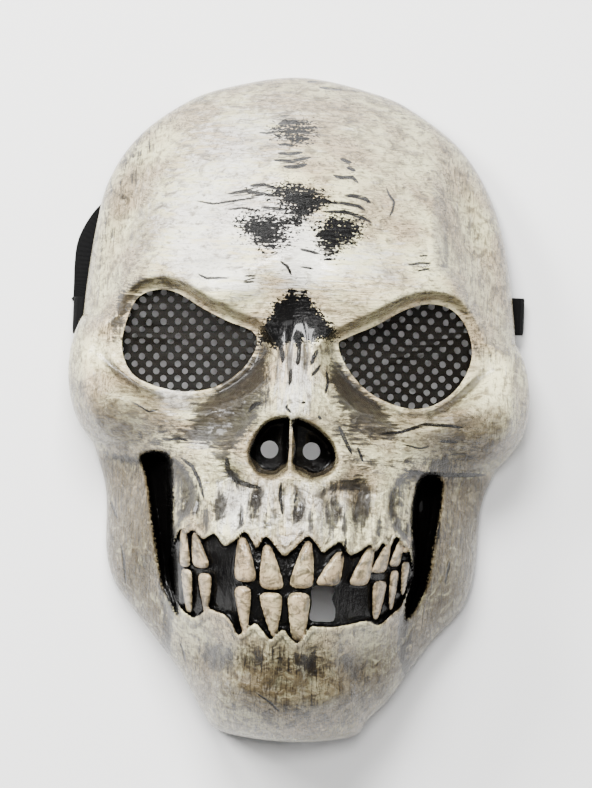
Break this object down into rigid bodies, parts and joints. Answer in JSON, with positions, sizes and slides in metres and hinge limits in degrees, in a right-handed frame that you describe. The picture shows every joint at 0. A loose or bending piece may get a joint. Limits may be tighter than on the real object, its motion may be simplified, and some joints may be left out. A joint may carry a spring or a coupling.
{
  "type": "skull mask",
  "caption": "Full-face mask moulded as a grinning skull with sunken eye sockets, an open nose and bared teeth; perforated panels fill the eyes and an elastic strap holds it on the head",
  "frame": {"origin": "on the floor under the middle of the mask lying on its rim, face up", "axes": "X to the viewer's right seen from the front, Y from the chin to the forehead, Z out of the face"},
  "size_m": [0.1806, 0.2594, 0.1023],
  "materials": {
    "bone_plastic": "glossy moulded plastic in bone colour, washed brown and painted black in the hollows",
    "eye_net": "coated dark brown net",
    "elastic": "ribbed black elastic"
  },
  "bodies": {
    "root": {"mask_shell": "bone_plastic", "eye_mesh_left": "eye_net", "eye_mesh_right": "eye_net", "elastic_strap": "elastic"}
  },
  "joints": []
}
